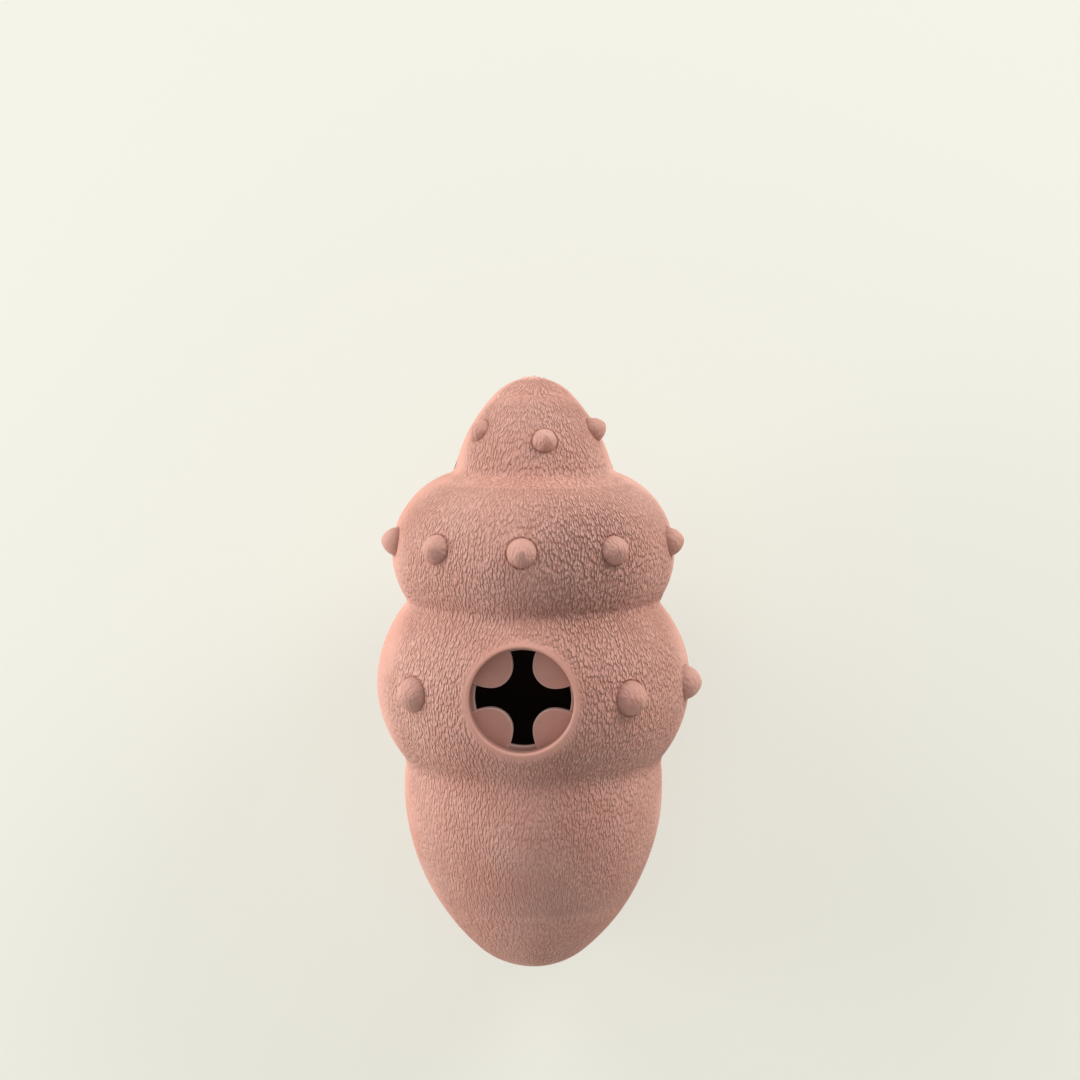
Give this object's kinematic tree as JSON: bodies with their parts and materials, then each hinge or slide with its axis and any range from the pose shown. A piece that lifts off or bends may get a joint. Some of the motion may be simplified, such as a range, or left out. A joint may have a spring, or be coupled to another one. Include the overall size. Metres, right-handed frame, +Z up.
{
  "type": "rubber chew toy",
  "caption": "Hollow moulded rubber chew toy with a pointed top, bulging tiers, a tapering cup, rounded nubs and a round treat mouth closed by bending flaps.",
  "frame": {"origin": "on the floor under the middle of the toy, as it lies on its cup's flank and two back nubs", "axes": "+Z up, +Y from the cup's end to the pointed top, +X to the right of the mouth; the mouth looks up and leans to the cup's end"},
  "size_m": [0.0803, 0.1392, 0.0815],
  "materials": {
    "shell_rubber": "matte, moulded leather grain",
    "flap_rubber": "matte, smooth"
  },
  "bodies": {
    "shell": {"front_shell": "shell_rubber", "back_shell": "shell_rubber"},
    "flap_upper_right": {"flap_upper_right": "flap_rubber"},
    "flap_upper_left": {"flap_upper_left": "flap_rubber"},
    "flap_lower_left": {"flap_lower_left": "flap_rubber"},
    "flap_lower_right": {"flap_lower_right": "flap_rubber"}
  },
  "joints": [
    {"name": "flap_upper_right_bend", "type": "hinge", "parent": "shell", "child": "flap_upper_right", "pos_m": [0.00594, -0.00132, 0.06774], "axis": [-0.7071, 0.6869, 0.1677], "range_deg": [-65, 60], "stiffness_Nm_per_rad": 0.003},
    {"name": "flap_upper_left_bend", "type": "hinge", "parent": "shell", "child": "flap_upper_left", "pos_m": [-0.00594, -0.00132, 0.06774], "axis": [-0.7071, -0.6869, -0.1677], "range_deg": [-65, 60], "stiffness_Nm_per_rad": 0.003},
    {"name": "flap_lower_left_bend", "type": "hinge", "parent": "shell", "child": "flap_lower_left", "pos_m": [-0.00594, -0.01286, 0.06492], "axis": [0.7071, -0.6869, -0.1677], "range_deg": [-65, 60], "stiffness_Nm_per_rad": 0.003},
    {"name": "flap_lower_right_bend", "type": "hinge", "parent": "shell", "child": "flap_lower_right", "pos_m": [0.00594, -0.01286, 0.06492], "axis": [0.7071, 0.6869, 0.1677], "range_deg": [-65, 60], "stiffness_Nm_per_rad": 0.003}
  ]
}
